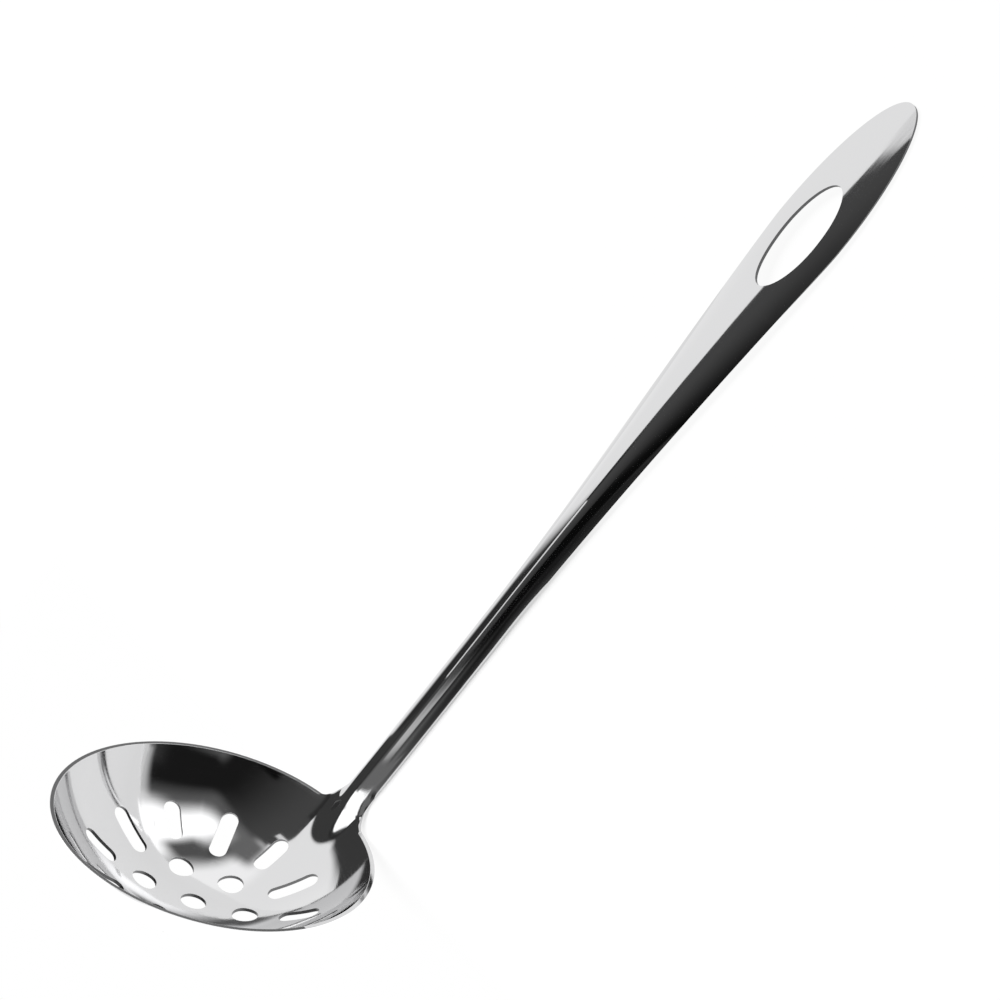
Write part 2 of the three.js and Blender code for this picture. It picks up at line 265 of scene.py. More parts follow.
class Bowl:
    """Where a point of the flat blank lies once the bowl is drawn and its neck pressed.

    The blank is flat, with distances from its middle measured along the bowl's inside."""

    def __init__(self, scene):
        self.sheet = scene.ladle_sheet.thickness
        self.rim_radius = scene.ladle_bowl.rim_radius
        self.rim_slope = scene.ladle_bowl.rim_slope
        self.trim_ease = scene.ladle_bowl.trim_ease
        self.neck = scene.ladle_neck
        self.handle = scene.ladle_handle
        self.dish = scene.ladle_bowl.dish_radius + self.sheet
        floor = scene.ladle_bowl.floor_radius
        self.knee = math.asin(floor / self.dish)
        self.wall = (self.rim_radius - floor) / (math.sin(self.rim_slope) - math.sin(self.knee))
        self.depth = self.surface(self.rim_slope, 0.0, 0.0)[1]
        inner_wall = self.wall - self.sheet
        self.knee_reach = (self.dish - self.sheet) * self.knee
        knee_height = self.surface(self.knee, self.sheet, 0.0)[1]
        self.trim_slope = math.acos(math.cos(self.knee) - (self.depth - knee_height) / inner_wall)
        self.reach = self.blank_reach(self.trim_slope)
        self.trim_along = self.wall * (self.trim_slope - self.rim_slope)
        self.neck_half = self.handle.half_width + self.neck.flare
        self.neck_turn = math.asin(self.neck_half / self.surface(self.trim_slope, 0.0, 0.0)[0])
        self.end_reach = self.reach + self.neck.length - self.trim_along
        self.arch = Channel(self.handle.half_width, self.handle.rise, 1.0, 0.0, self.sheet)
        tip = Matrix.Rotation(self.rim_slope, 4, "Y")
        tip.translation = (RIM_AT - self.rim_radius * math.cos(self.rim_slope), 0.0,
                           self.rim_radius * math.sin(self.rim_slope))
        self.tip = tip

    def surface(self, slope, offset, depth):
        """Radius and height of the drawn surface at a slope, one offset inside the bowl's outside."""
        dish, wall = self.dish - offset, self.wall - offset
        if slope <= self.knee:
            return dish * math.sin(slope), dish * (1 - math.cos(slope)) + offset - depth
        radius = dish * math.sin(self.knee) + wall * (math.sin(slope) - math.sin(self.knee))
        height = dish * (1 - math.cos(self.knee)) + wall * (math.cos(self.knee) - math.cos(slope))
        return radius, height + offset - depth

    def blank_reach(self, slope):
        if slope <= self.knee:
            return (self.dish - self.sheet) * slope
        return self.knee_reach + (self.wall - self.sheet) * (slope - self.knee)

    def slope(self, reach):
        if reach <= self.knee_reach:
            return reach / (self.dish - self.sheet)
        return self.knee + (reach - self.knee_reach) / (self.wall - self.sheet)

    def reach_of_radius(self, radius):
        """Distance in the blank of a radius measured on the bowl's inside."""
        knee_radius = (self.dish - self.sheet) * math.sin(self.knee)
        if radius <= knee_radius:
            return self.blank_reach(math.asin(radius / (self.dish - self.sheet)))
        sine = math.sin(self.knee) + (radius - knee_radius) / (self.wall - self.sheet)
        return self.blank_reach(math.asin(sine))

    def radius_of_reach(self, reach):
        return self.surface(self.slope(reach), self.sheet, 0.0)[0]

    def on_wall(self, slope, turn, lift):
        """Point at a lift above the bowl's outside, in the row frame."""
        radius, height = self.surface(slope, 0.0, self.depth)
        outward = radius - lift * math.sin(slope)
        return self.tip @ Vector((outward * math.cos(turn), outward * math.sin(turn),
                                  height + lift * math.cos(slope)))

    def half_width(self, along):
        u = 1.0 - min(max(along / self.neck.length, 0.0), 1.0)
        return self.handle.half_width + self.neck.flare * (1.0 - math.sqrt(1.0 - u * u))

    def rib(self, along, across):
        """Height of the rib above the bare sheet."""
        narrowed = smooth_step(along / self.neck.length)
        u = min(abs(across) / (self.handle.half_width + self.neck.rib_flare * (1.0 - narrowed)), 1.0)
        grown = smooth_step((along + self.neck.nose_length) / (self.neck.nose_length + self.neck.length))
        return (self.handle.rise - self.sheet) * grown * (1.0 - u * u) ** 2

    def soft(self, along, across):
        """Inside of the sheet with its rib, at a distance along the wall from the rim and across it."""
        lift = self.sheet + self.rib(along, across)
        if along <= 0.0:
            slope = self.rim_slope + along / self.wall
            return self.on_wall(slope, math.asin(across / self.surface(slope, 0.0, 0.0)[0]), lift)
        kept = 1.0 - smooth_step(along / self.neck.length)
        turn = math.asin(across / self.rim_radius)
        foot = self.on_wall(self.rim_slope, turn, 0.0)
        normal = self.on_wall(self.rim_slope, turn, 1.0) - foot
        base = Vector((RIM_AT + along + kept * (foot.x - RIM_AT), across, kept * foot.z))
        return base + Vector((0.0, 0.0, 1.0)).lerp(normal, kept).normalized() * lift

    def soft_under(self, along, across):
        """The same point, one sheet lower."""
        step = 2e-5
        lengthwise = self.soft(along + step, across) - self.soft(along - step, across)
        crosswise = self.soft(along, across + step) - self.soft(along, across - step)
        return self.soft(along, across) - lengthwise.cross(crosswise).normalized() * self.sheet

    def on_neck(self, along, share, under):
        across = share * self.half_width(along)
        soft = self.soft_under(along, across) if under else self.soft(along, across)
        arch_across, arch_height = self.arch.point(share, under)
        widened = self.half_width(along) / self.handle.half_width
        arch = Vector((RIM_AT + along, arch_across * widened, arch_height))
        return soft.lerp(arch, smooth_step(along / self.neck.length))

    def place(self, blank, under):
        reach, turn = blank.to_2d().length, math.atan2(blank.y, blank.x)
        if reach > self.reach + TOUCH:
            along = self.trim_along + reach - self.reach
            if under:
                along = (along - self.trim_along) * self.neck.length / (self.neck.length - self.trim_along)
            return self.on_neck(along, math.sin(turn) / math.sin(self.neck_turn), under)
        slope = self.slope(reach)
        if under:
            eased = smooth_step((reach - self.reach) / self.trim_ease + 1.0)
            slope += (self.rim_slope - self.trim_slope) * eased
        along = self.wall * (slope - self.rim_slope)
        across = self.surface(slope, 0.0, 0.0)[0] * math.sin(turn)
        if abs(turn) < math.pi / 2 and self.rib(along, across) > 0.0:
            return self.soft_under(along, across) if under else self.soft(along, across)
        return self.on_wall(slope, turn, 0.0 if under else self.sheet)


class Handle:
    """Where a point of the handle's flat blank lies once it is pressed.

    A point of the blank has a distance along the handle from the rim and a share of its width."""

    def __init__(self, scene):
        self.sheet = scene.ladle_sheet.thickness
        self.size = scene.ladle_handle
        self.start = scene.ladle_neck.length + scene.ladle_sheet.weld_width
        self.widest = self.size.shank_end + self.size.taper_length
        self.length = self.widest + self.size.tip_length
        self.eye = self.widest - self.size.eye_setback
        self.grip_radius = arc_radius(self.size.grip_half_width, self.size.grip_rise)

    def taper_width(self, at):
        """Half-width on the curve from shank to grip, found by halving the curve."""
        ends = (self.size.shank_end, self.size.shank_end + self.size.shank_ease,
                self.widest - self.size.taper_ease, self.widest)
        low, high = 0.0, 1.0
        for _ in range(40):
            f = (low + high) / 2
            g = 1.0 - f
            x = g ** 3 * ends[0] + 3 * g * g * f * ends[1] + 3 * g * f * f * ends[2] + f ** 3 * ends[3]
            if x < at:
                low = f
            else:
                high = f
        return mix(self.size.half_width, self.size.grip_half_width, smooth_step(f))

    def bow(self, at):
        u = max((at - self.size.bow_start) / (self.length - self.size.bow_start), 0.0)
        return self.size.bow_height * math.sin(math.pi * u) ** 2

    def section(self, at):
        if at <= self.size.shank_end:
            return Channel(self.size.half_width, self.size.rise, 1.0, self.bow(at), self.sheet)
        if at <= self.widest:
            grown = smooth_step((at - self.size.shank_end) / self.size.taper_length)
            rise = mix(self.size.rise, self.size.grip_rise, grown)
            return Channel(self.taper_width(at), rise, 1.0 - grown, self.bow(at), self.sheet)
        u = min((at - self.widest) / self.size.tip_length, 1.0)
        half_width = self.size.grip_half_width * math.sqrt(1.0 - u * u)
        radius = self.grip_radius * (1.0 + self.size.tip_flattening * u)
        rise = radius - math.sqrt(radius ** 2 - half_width ** 2)
        return Channel(half_width, rise, 0.0, self.bow(at), self.sheet)

    def place(self, blank, under):
        across, height = self.section(blank.x).point(blank.y / self.size.grip_half_width, under)
        return Vector((RIM_AT + blank.x, across, height))


def polar(reach, turn):
    return Vector((reach * math.cos(turn), reach * math.sin(turn), 0.0))


def new_ring(bm, spots):
    """A closed ring of edges through these spots of the blank."""
    made = bmesh.ops.create_circle(bm, cap_ends=False, radius=1.0, segments=len(spots))
    order = bm.verts.layers.int["order"]
    for i, vert in enumerate(made["verts"]):
        vert.co = spots[i]
        vert[order] = i
    return list({edge for vert in made["verts"] for edge in vert.link_edges})


def widen(bm, edges, spots):
    """Grows the sheet from these edges, so that each new corner lies on the spot of its number."""
    grown = bmesh.ops.extrude_edge_only(bm, edges=edges)["geom"]
    order = bm.verts.layers.int["order"]
    corners = {item for item in grown if isinstance(item, bmesh.types.BMVert)}
    for corner in corners:
        corner.co = spots[corner[order]]
    return [item for item in grown if isinstance(item, bmesh.types.BMEdge) and set(item.verts) <= corners]


def new_cell(bm, hole, border, steps):
    """Sheet round one hole, from the hole's outline out to the border."""
    edges = new_ring(bm, hole)
    for step in steps:
        edges = widen(bm, edges, [a.lerp(b, step) for a, b in zip(hole, border)])


def walk(corners, counts):
    """Points round a four-sided border, with so many intervals on each side."""
    points = []
    for i, count in enumerate(counts):
        a, b = corners[i], corners[(i + 1) % len(corners)]
        points += [(mix(a[0], b[0], k / count), mix(a[1], b[1], k / count)) for k in range(count)]
    return points


def number_ring(bm, reach, start, count):
    """Numbers the corners at one distance from the middle by angle, and gives the edges between them."""
    order = bm.verts.layers.int["order"]
    ring = {vert for vert in bm.verts if abs(vert.co.length - reach) < TOUCH}
    for vert in ring:
        turn = math.atan2(vert.co.y, vert.co.x) - start
        vert[order] = round(turn / (2 * math.pi) * count) % count
    return [edge for edge in bm.edges if set(edge.verts) <= ring]


def spot(bowl, reach, centre, across):
    """Spot of the blank at a distance across a line from its middle."""
    return polar(reach, centre + across / bowl.radius_of_reach(reach))


def pierce_middle(bm, holes, bowl, border):
    """Sheet round the middle hole, out to a border."""
    count = holes.hole_count * HOLE_INNER
    turns = [holes.turn + 2 * math.pi * i / count for i in range(count)]
    radius = bowl.reach_of_radius(holes.hole_diameter / 2)
    new_cell(bm, [polar(radius, turn) for turn in turns], [polar(border, turn) for turn in turns],
             MIDDLE_STEPS)


def pierce_holes(bm, holes, bowl, near, far):
    """Sheet round each hole of the ring, between two distances from the middle."""
    radius = holes.hole_diameter / 2
    wide = math.pi / holes.hole_count
    ring = bowl.reach_of_radius(holes.hole_ring)
    outer = SLOT_END * holes.slot_count // holes.hole_count
    border = walk([(near, -wide), (near, wide), (far, wide), (far, -wide)],
                  (HOLE_INNER, HOLE_SIDE, outer, HOLE_SIDE))
    bearing = [math.atan2(bowl.radius_of_reach(reach) * turn, reach - ring) for reach, turn in border]
    for i in range(holes.hole_count):
        centre = holes.turn + 2 * wide * i
        new_cell(bm,
                 [spot(bowl, ring + radius * math.cos(a), centre, radius * math.sin(a)) for a in bearing],
                 [polar(reach, centre + turn) for reach, turn in border], HOLE_STEPS)


def slot_outline(near, far, half_width):
    """Outline of a slot with round ends, as distances from the middle and across the slot."""
    outline = []
    for k in range(SLOT_END):
        a = math.pi * (k / SLOT_END - 0.5)
        outline.append((near - half_width * math.cos(a), half_width * math.sin(a)))
    outline += [(mix(near, far, k / SLOT_SIDE), half_width) for k in range(SLOT_SIDE)]
    for k in range(SLOT_END):
        a = math.pi * (0.5 - k / SLOT_END)
        outline.append((far + half_width * math.cos(a), half_width * math.sin(a)))
    outline += [(mix(far, near, k / SLOT_SIDE), -half_width) for k in range(SLOT_SIDE)]
    return outline


def pierce_slots(bm, holes, bowl, near, far):
    """Sheet round each slot, with a short slot outside each hole of the ring."""
    half_width = holes.slot_width / 2
    wide = math.pi / holes.slot_count
    border = walk([(near, -wide), (near, wide), (far, wide), (far, -wide)],
                  (SLOT_END, SLOT_SIDE, SLOT_END, SLOT_SIDE))
    end = bowl.reach_of_radius(holes.slot_outer) - half_width
    for i in range(holes.slot_count):
        centre = holes.turn + 2 * wide * i
        short = i * holes.hole_count % holes.slot_count == 0
        start = bowl.reach_of_radius(holes.short_inner if short else holes.long_inner) + half_width
        outline = slot_outline(start, end, half_width)
        new_cell(bm, [spot(bowl, reach, centre, across) for reach, across in outline],
                 [polar(reach, centre + turn) for reach, turn in border], HOLE_STEPS)


def rim_turns(holes, bowl):
    """Angles of the blank's corners at the rim, which are even apart from those that share the neck."""
    count = holes.slot_count * SLOT_END
    part = 2 * math.pi / count
    spread = bowl.neck_turn / (TAB_PARTS * part)
    shift = round(holes.turn / part)
    turns = []
    for i in range(count):
        turn = (i + shift + count // 2) % count * part - math.pi
        away = smooth_step((abs(turn) - TAB_PARTS * part) / (TAB_PARTS * 2 * part))
        turns.append(turn * mix(spread, 1.0, away))
    return turns


def grow_wall(bm, holes, bowl, start, turns):
    """Grows the sheet from the slots' cells to the rim, and gives the rim's edges."""
    part = 2 * math.pi / len(turns)
    edges = number_ring(bm, start, holes.turn, len(turns))
    for row in range(1, WALL_ROWS + 1):
        f = row / WALL_ROWS
        spots = []
        for i, turn in enumerate(turns):
            even = holes.turn + i * part
            lag = math.remainder(turn - even, 2 * math.pi)
            spots.append(polar(mix(start, bowl.reach, f), even + lag * smooth_step(f)))
        edges = widen(bm, edges, spots)
    return edges


def grow_tab(bm, bowl, rim, turns):
    """Grows the neck's tab from its stretch of the rim's edges."""
    tab = bowl.neck_turn + TOUCH
    edges = [edge for edge in rim if all(abs(math.atan2(v.co.y, v.co.x)) < tab for v in edge.verts)]
    for row in range(1, TAB_ROWS + 1):
        reach = mix(bowl.reach, bowl.end_reach, (row / TAB_ROWS) ** TAB_CROWDING)
        edges = widen(bm, edges, [polar(reach, turn) for turn in turns])


def bowl_blank(scene, bowl):
    """The flat, pierced blank of the bowl, with the tab for its neck."""
    holes = scene.ladle_perforation
    middle, between, outer = (bowl.reach_of_radius(radius) for radius in CELL_RINGS)
    bm = bmesh.new()
    bm.verts.layers.int.new("order")
    pierce_middle(bm, holes, bowl, middle)
    pierce_holes(bm, holes, bowl, middle, between)
    pierce_slots(bm, holes, bowl, between, outer)
    bmesh.ops.remove_doubles(bm, verts=bm.verts[:], dist=TOUCH)
    turns = rim_turns(holes, bowl)
    rim = grow_wall(bm, holes, bowl, outer, turns)
    grow_tab(bm, bowl, rim, turns)
    return bm


def handle_blank(handle):
    """The flat, pierced blank of the handle."""
    size = handle.size
    full = size.grip_half_width
    eye_half, eye_wide = size.eye_length / 2, size.eye_width / 2
    low = handle.eye - eye_half - EYE_MARGIN
    high = handle.eye + eye_half + EYE_MARGIN
    bm = bmesh.new()
    bm.verts.layers.int.new("order")
    border = walk([(low, -full), (high, -full), (high, full), (low, full)],
                  (EYE_SIDE, HANDLE_COLUMNS, EYE_SIDE, HANDLE_COLUMNS))
    outline = []
    for at, across in border:
        a = math.atan2(across / eye_wide, (at - handle.eye) / eye_half)
        x = handle.eye + eye_half * math.cos(a)
        share = handle.section(x).share(eye_wide * math.sin(a))
        outline.append(Vector((x, share * full, 0.0)))
    new_cell(bm, outline, [Vector((at, across, 0.0)) for at, across in border], EYE_STEPS)

    order = bm.verts.layers.int["order"]
    shares = [full * (2 * i / HANDLE_COLUMNS - 1) for i in range(HANDLE_COLUMNS + 1)]
    down = [mix(low, handle.start, row / SHANK_ROWS) for row in range(1, SHANK_ROWS + 1)]
    tip_start = math.asin((high - handle.widest) / size.tip_length)
    turns = [mix(tip_start, TIP_END, row / TIP_ROWS) for row in range(1, TIP_ROWS + 1)]
    up = [handle.widest + size.tip_length * math.sin(turn) for turn in turns]
    for start, stations in ((low, down), (high, up)):
        line = {vert for vert in bm.verts if abs(vert.co.x - start) < TOUCH}
        for vert in line:
            vert[order] = round((vert.co.y / full + 1) / 2 * HANDLE_COLUMNS)
        edges = [edge for edge in bm.edges if set(edge.verts) <= line]
        for at in stations:
            edges = widen(bm, edges, [Vector((at, share, 0.0)) for share in shares])
    return bm


def press(bm, sheet, place, seam, weight, cut):
    """Gives the flat blank its thickness, gives its cut faces the darkened cut-edge colour, a painted shade,
    marks the edges to be broken, and presses it.
    """
    bmesh.ops.subdivide_edges(bm, edges=bm.edges[:], cuts=1, use_grid_fill=True)
    bmesh.ops.recalc_face_normals(bm, faces=bm.faces[:])
    if bm.faces[:][0].normal.z < 0.0:
        bmesh.ops.reverse_faces(bm, faces=bm.faces[:])
    bmesh.ops.solidify(bm, geom=bm.faces[:], thickness=sheet)
    bmesh.ops.recalc_face_normals(bm, faces=bm.faces[:])
    level = min(vert.co.z for vert in bm.verts) + sheet / 2
    for face in bm.faces:
        face.material_index = int(abs(face.normal.z) < LEVEL and cut(face.calc_center_median()))
    broken = bm.edges.layers.float.new("bevel_weight_edge")
    under = [vert.co.z < level for vert in bm.verts]
    for edge in bm.edges:
        if edge.calc_face_angle() < SHARP:
            continue
        if all(seam(vert.co) for vert in edge.verts):
            edge.smooth = False
        elif abs(edge.verts[0].co.z - edge.verts[1].co.z) > sheet / 2:
            edge.smooth = False
        else:
            edge[broken] = weight(edge.verts[0].co)
    for vert, below in zip(bm.verts, under):
        vert.co = place(vert.co, below)


def add_piece(bm, name, node, materials, edge_round):
    mesh = bpy.data.meshes.new(name)
    bm.to_mesh(mesh)
    bm.free()
    mesh.shade_smooth()
    for material in materials:
        mesh.materials.append(material)
    piece = bpy.data.objects.new(name, mesh)
    bpy.context.scene.collection.objects.link(piece)
    if edge_round:
        breaking = piece.modifiers.new("Broken edges", "BEVEL")
        breaking.width = edge_round
        breaking.segments = 4
        breaking.material = 0
        breaking.limit_method = "WEIGHT"
        breaking.harden_normals = True
    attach(piece, "root")
    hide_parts(node)
    return piece


def node_group(name, inputs, outputs):
    """An empty shader group with these sockets, and its input and output nodes."""
    group = bpy.data.node_groups.new(name, "ShaderNodeTree")
    for title, kind in inputs:
        group.interface.new_socket(title, in_out="INPUT", socket_type=kind)
    for title, kind in outputs:
        group.interface.new_socket(title, in_out="OUTPUT", socket_type=kind)
    return group, group.nodes.new("NodeGroupInput"), group.nodes.new("NodeGroupOutput")


def polish_group():
    """Fine marks that polishing leaves, as a mask and as a normal, with the position stretched along them."""
    vector, value = "NodeSocketVector", "NodeSocketFloat"
    group, start, end = node_group("Polishing marks", (("Position", vector), ("Depth", value)),
                                   (("Mask", value), ("Normal", vector)))
    grain = group.nodes.new("ShaderNodeTexNoise")
    grain.inputs["Scale"].default_value = 1.0
    grain.inputs["Detail"].default_value = 3.0
    group.links.new(start.outputs["Position"], grain.inputs["Vector"])
    relief = group.nodes.new("ShaderNodeBump")
    relief.inputs["Strength"].default_value = 1.0
    group.links.new(start.outputs["Depth"], relief.inputs["Distance"])
    group.links.new(grain.outputs["Fac"], relief.inputs["Height"])
    group.links.new(grain.outputs["Fac"], end.inputs["Mask"])
    group.links.new(relief.outputs["Normal"], end.inputs["Normal"])
    return group


def spun_position(tree, tip, slope):
    """Position in the bowl's own frame: the way round it, the distance from its axis and the height."""
    nodes, link = tree.nodes, tree.links.new
    place = nodes.new("ShaderNodeTexCoord")
    own = nodes.new("ShaderNodeMapping")
    own.vector_type = "TEXTURE"
    own.inputs["Location"].default_value = tip
    own.inputs["Rotation"].default_value = (0.0, slope, 0.0)
    link(place.outputs["Object"], own.inputs["Vector"])
    apart = nodes.new("ShaderNodeSeparateXYZ")
    link(own.outputs["Vector"], apart.inputs["Vector"])
    flat = nodes.new("ShaderNodeCombineXYZ")
    link(apart.outputs["X"], flat.inputs["X"])
    link(apart.outputs["Y"], flat.inputs["Y"])
    radius = nodes.new("ShaderNodeVectorMath")
    radius.operation = "LENGTH"
    link(flat.outputs["Vector"], radius.inputs[0])
    turn = nodes.new("ShaderNodeMath")
    turn.operation = "ARCTAN2"
    link(apart.outputs["Y"], turn.inputs[0])
    link(apart.outputs["X"], turn.inputs[1])
    around = nodes.new("ShaderNodeMath")
    around.operation = "MULTIPLY"
    link(turn.outputs["Value"], around.inputs[0])
    link(radius.outputs["Value"], around.inputs[1])
    spun = nodes.new("ShaderNodeCombineXYZ")
    link(around.outputs["Value"], spun.inputs["X"])
    link(radius.outputs["Value"], spun.inputs["Y"])
    link(apart.outputs["Z"], spun.inputs["Z"])
    return spun.outputs["Vector"]


def object_position(tree):
    return tree.nodes.new("ShaderNodeTexCoord").outputs["Object"]


def steel_material(name, tint, roughness):
    material = bpy.data.materials.get(name) or bpy.data.materials.new(name)
    material.use_nodes = True
    shader = material.node_tree.nodes["Principled BSDF"]
    shader.inputs["Base Color"].default_value = (*tint, 1.0)
    shader.inputs["Metallic"].default_value = 1.0
    shader.inputs["Roughness"].default_value = roughness
    return material


def polished_material(name, finish, position):
    """Steel with polishing marks that run along the position's X."""
    material = steel_material(name, finish.steel, finish.steel_roughness)
    tree = material.node_tree
    shader = tree.nodes["Principled BSDF"]
    stretch = tree.nodes.new("ShaderNodeMapping")
    stretch.inputs["Scale"].default_value = (finish.marks_along, finish.marks_across, finish.marks_across)
    tree.links.new(position(tree), stretch.inputs["Vector"])
    marks = tree.nodes.new("ShaderNodeGroup")
    marks.node_tree = bpy.data.node_groups.get("Polishing marks") or polish_group()
    tree.links.new(stretch.outputs["Vector"], marks.inputs["Position"])
    marks.inputs["Depth"].default_value = finish.marks_depth
    dull = tree.nodes.new("ShaderNodeMapRange")
    for end, grain, share in zip(("Min", "Max"), GRAIN, GRAIN_ROUGHNESS):
        dull.inputs["From " + end].default_value = grain
        dull.inputs["To " + end].default_value = finish.steel_roughness * share
    tree.links.new(marks.outputs["Mask"], dull.inputs["Value"])
    tree.links.new(dull.outputs["Result"], shader.inputs["Roughness"])
    tree.links.new(marks.outputs["Normal"], shader.inputs["Normal"])
    return material


# Cut edges: rougher steel whose colour is darkened far below steel's, a painted shade.
def shaded_cut_material(finish):
    return steel_material("cut_edge_painted_shade", finish.cut, finish.cut_roughness)


class LADLE_OT_bowl(bpy.types.Operator):
    """Draw and pierce the bowl, with its neck"""
    bl_idname = "ladle.bowl"
    bl_label = "Bowl"

    def execute(self, context):
        scene = context.scene
        sheet = scene.ladle_sheet
        bowl = Bowl(scene)
        bm = bowl_blank(scene, bowl)
        hole_weight = sheet.hole_round / sheet.rim_round
        rim = bowl.reach - bowl.trim_ease
        press(bm, sheet.thickness, bowl.place,
              seam=lambda co: co.to_2d().length > bowl.end_reach - SEAM,
              weight=lambda co: 1.0 if co.to_2d().length > rim else hole_weight,
              # Painted shade: the upright faces of the holes take the dark cut-edge colour, and so do those
              # of the rim and neck, except in the quarter of the blank where X is not below 0 and Y not above
              # 0, which stays polished.
              cut=lambda co: co.to_2d().length < rim or co.x < 0.0 or co.y > 0.0)
        finish = scene.ladle_finish
        steel = polished_material("polished_bowl", finish, lambda tree: spun_position(
            tree, bowl.tip.translation, bowl.rim_slope))
        materials = (steel, shaded_cut_material(finish))
        add_piece(bm, "bowl_pressing", "bowl", materials, sheet.rim_round)
        return {"FINISHED"}


class LADLE_OT_weld(bpy.types.Operator):
    """Lay the dressed weld between bowl and handle"""
    bl_idname = "ladle.weld"
    bl_label = "Weld"

    def execute(self, context):
        scene = context.scene
        sheet, neck, handle = scene.ladle_sheet, scene.ladle_neck, scene.ladle_handle
        thickness = sheet.thickness + sheet.weld_root
        arch = Channel(handle.half_width, handle.rise, 1.0, 0.0, thickness)

        def place(blank, under):
            across, height = arch.point(blank.y, under)
            return Vector((RIM_AT + neck.length + sheet.weld_width * (blank.x + 1) / 2, across, height))

        bm = bmesh.new()
        bmesh.ops.create_grid(bm, x_segments=2, y_segments=16, size=1.0)
        press(bm, thickness, place, seam=lambda co: abs(co.x) > 1 - SEAM, weight=lambda co: 1.0,
              cut=lambda co: False)
        finish = scene.ladle_finish
        material = steel_material("dressed_weld", finish.weld, finish.weld_roughness)
        add_piece(bm, "neck_weld_bead", "neck_weld", (material,), sheet.edge_round)
        return {"FINISHED"}


class LADLE_OT_handle(bpy.types.Operator):
    """Press the channel handle, with its hanging eye"""
    bl_idname = "ladle.handle"
    bl_label = "Handle"

    def execute(self, context):
        scene = context.scene
        sheet = scene.ladle_sheet
        handle = Handle(scene)
        bm = handle_blank(handle)
        press(bm, sheet.thickness, handle.place,
              seam=lambda co: co.x < handle.start + SEAM,
              weight=lambda co: 1.0,
              # Painted shade: every upright face of the handle takes the dark cut-edge colour.
              cut=lambda co: True)
        finish = scene.ladle_finish
        steel = polished_material("polished_steel", finish, object_position)
        materials = (steel, shaded_cut_material(finish))
        add_piece(bm, "handle_pressing", "handle", materials, sheet.edge_round)
        return {"FINISHED"}


# Beyond the tent on every side
OUT = 2.0

# A card's thin side is no longer than this
CARD_THICKNESS = 0.0011

# Panels of the light tent, each laid over those before it:
# low corner, high corner, softness of the edge, brightness
PANELS = {
    "ceiling cloth": ((-OUT, -0.043, 0.30), (OUT, OUT, OUT), 0.264, 0.077),
    "ceiling gap": ((-0.118, -OUT, 0.30), (-0.03, -0.08, OUT), 0.02, 0.004),
    "front foot": ((-OUT, -OUT, -OUT), (OUT, -0.50, 0.127), 0.096, 0.043),
    "front cloth": ((-0.050, -OUT, -OUT), (0.149, -0.50, OUT), 0.074, 0.156),
    "far cloth": ((-OUT, 0.25, -OUT), (0.0, OUT, OUT), 0.012, 0.035),
    "far panel": ((-0.038, 0.28, -OUT), (OUT, OUT, 0.578), 0.018, 1.10),
    "far foot": ((-OUT, 0.25, -OUT), (0.046, OUT, 0.079), 0.096, 1.17),
    "right glow": ((0.30, -0.279, -OUT), (OUT, -0.028, 0.546), 0.080, 0.145),
    "right far": ((0.30, 0.192, -OUT), (OUT, OUT, 0.52), 0.053, 1.27),
    "right cloth": ((0.30, -0.029, 0.274), (OUT, 0.293, 0.515), 0.053, 0.18),
    "right foot": ((0.30, -OUT, -OUT), (OUT, -0.191, 0.040), 0.029, 0.67),
    "right low": ((0.30, -0.187, -OUT), (OUT, 0.149, 0.119), 0.082, 1.62),
    "window": ((0.30, -0.124, 0.017), (OUT, 0.045, 0.374), 0.095, 2.55),
    "right gap": ((0.30, 0.035, 0.039), (OUT, 0.158, 0.196), 0.038, 0.113),
    "lamp": ((-OUT, -OUT, -OUT), (-0.190, 0.175, OUT), 0.086, 0.55),
    "lamp strip": ((-0.145, -0.30, 0.50), (-0.121, 0.07, OUT), 0.008, 0.65),
    "far corner": ((0.226, 0.24, 0.50), (0.27, OUT, OUT), 0.006, 0.95),
    "left cloth": ((-OUT, -OUT, -OUT), (-0.60, OUT, 0.30), 0.05, 0.10),
}

# Flat cards that only the metal mirrors: low corner, high corner, softness of the edge, brightness
CARDS = {
    "card_behind_neck": ((-0.30, 0.120, 0.0), (-0.085, 0.121, 0.23), 0.001, 0.055),
    "card_over_neck": ((-0.0915, -0.085, 0.030), (-0.0815, 0.004, 0.031), 0.0020, 0.19),
    "light_over_neck": ((-0.136, -0.100, 0.100), (-0.107, 0.036, 0.101), 0.0025, 1.6),
    "light_beside_neck": ((-0.111, -0.125, 0.102), (-0.102, 0.003, 0.103), 0.0025, 1.6),
    "card_under_bowl": ((-0.26, -0.05, 0.0001), (-0.103, 0.085, 0.0004), 0.008, 1.48),
    "strip_over_shank": ((-0.053, 0.009, 0.030), (0.008, 0.0125, 0.031), 0.0005, 1.0),
    "card_past_grip": ((0.20, -0.11, 0.0005), (0.33, 0.01, 0.0015), 0.02, 1.7),
    "card_in_front": ((-0.65, -0.55, 0.0005), (0.30, -0.26, 0.0015), 0.03, 0.84),
}

# Patches of floor painted plain white, painted light that hides the ladle's shadow there for the camera and
# in the metal: low corner, high corner, softness of the edge, share of white
PAINTED_LIGHT_POOLS = {
    "painted light round the bowl": ((-0.30, -0.20, -OUT), (-0.092, 0.15, OUT), 0.012, 1.0),
    "painted light beside the grip": ((-0.02, -0.20, -OUT), (OUT, 0.10, OUT), 0.05, 0.9),
}


